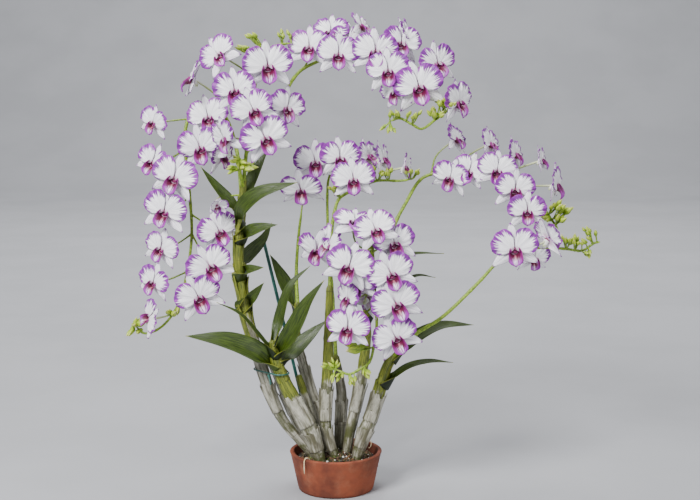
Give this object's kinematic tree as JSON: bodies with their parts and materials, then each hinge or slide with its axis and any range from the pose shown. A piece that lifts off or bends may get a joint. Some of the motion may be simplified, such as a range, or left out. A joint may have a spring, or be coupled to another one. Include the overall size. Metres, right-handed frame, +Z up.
{
  "type": "potted orchid",
  "caption": "Orchid in a shallow clay pot: upright papery canes, strap leaves, and arching sprays of white flowers edged in violet.",
  "frame": {"origin": "centre of the pot's flat foot, on the surface it stands on", "axes": "+X to the right and +Z up as seen from the side that the flowers face, +Y to the back"},
  "size_m": [0.6496, 0.1804, 0.6672],
  "materials": {
    "clay": "matt unglazed terracotta",
    "mix": "bark chips with perlite",
    "cane": "dry papery sheaths over green",
    "leaf": "waxy dark green",
    "flower": "soft white petals with violet edges",
    "coated": "green plastic coating",
    "dry_root": "dry pale fibre"
  },
  "bodies": {
    "root": {"cane_behind_centre": "cane", "cane_behind_left": "cane", "cane_centre": "cane", "cane_front_left": "cane", "cane_inner_left": "cane", "cane_inner_right": "cane", "cane_right": "cane", "cane_stub": "cane", "cane_tall_left": "cane", "leaf_back_left": "leaf", "leaf_centre_broad": "leaf", "leaf_dark_low": "leaf", "leaf_folded": "leaf", "leaf_front_broad": "leaf", "leaf_front_narrow": "leaf", "leaf_inner_left": "leaf", "leaf_low_left": "leaf", "leaf_pale_long": "leaf", "leaf_right_broad": "leaf", "leaf_right_high": "leaf", "leaf_right_low": "leaf", "leaf_right_mid": "leaf", "leaf_short": "leaf", "leaf_strip_left": "leaf", "leaf_upper_left": "leaf", "leaf_upright": "leaf", "plant_stake": "coated", "pot": "clay", "potting_mix": "mix", "root_strand": "dry_root", "spray_centre": "flower", "spray_centre_left": "flower", "spray_centre_right": "flower", "spray_front": "flower", "spray_left_arch": "flower", "spray_lower_right": "flower", "spray_top_left": "flower", "spray_top_right": "flower", "spray_upper_right": "flower", "spray_young": "flower", "wire_tie": "coated"}
  },
  "joints": []
}
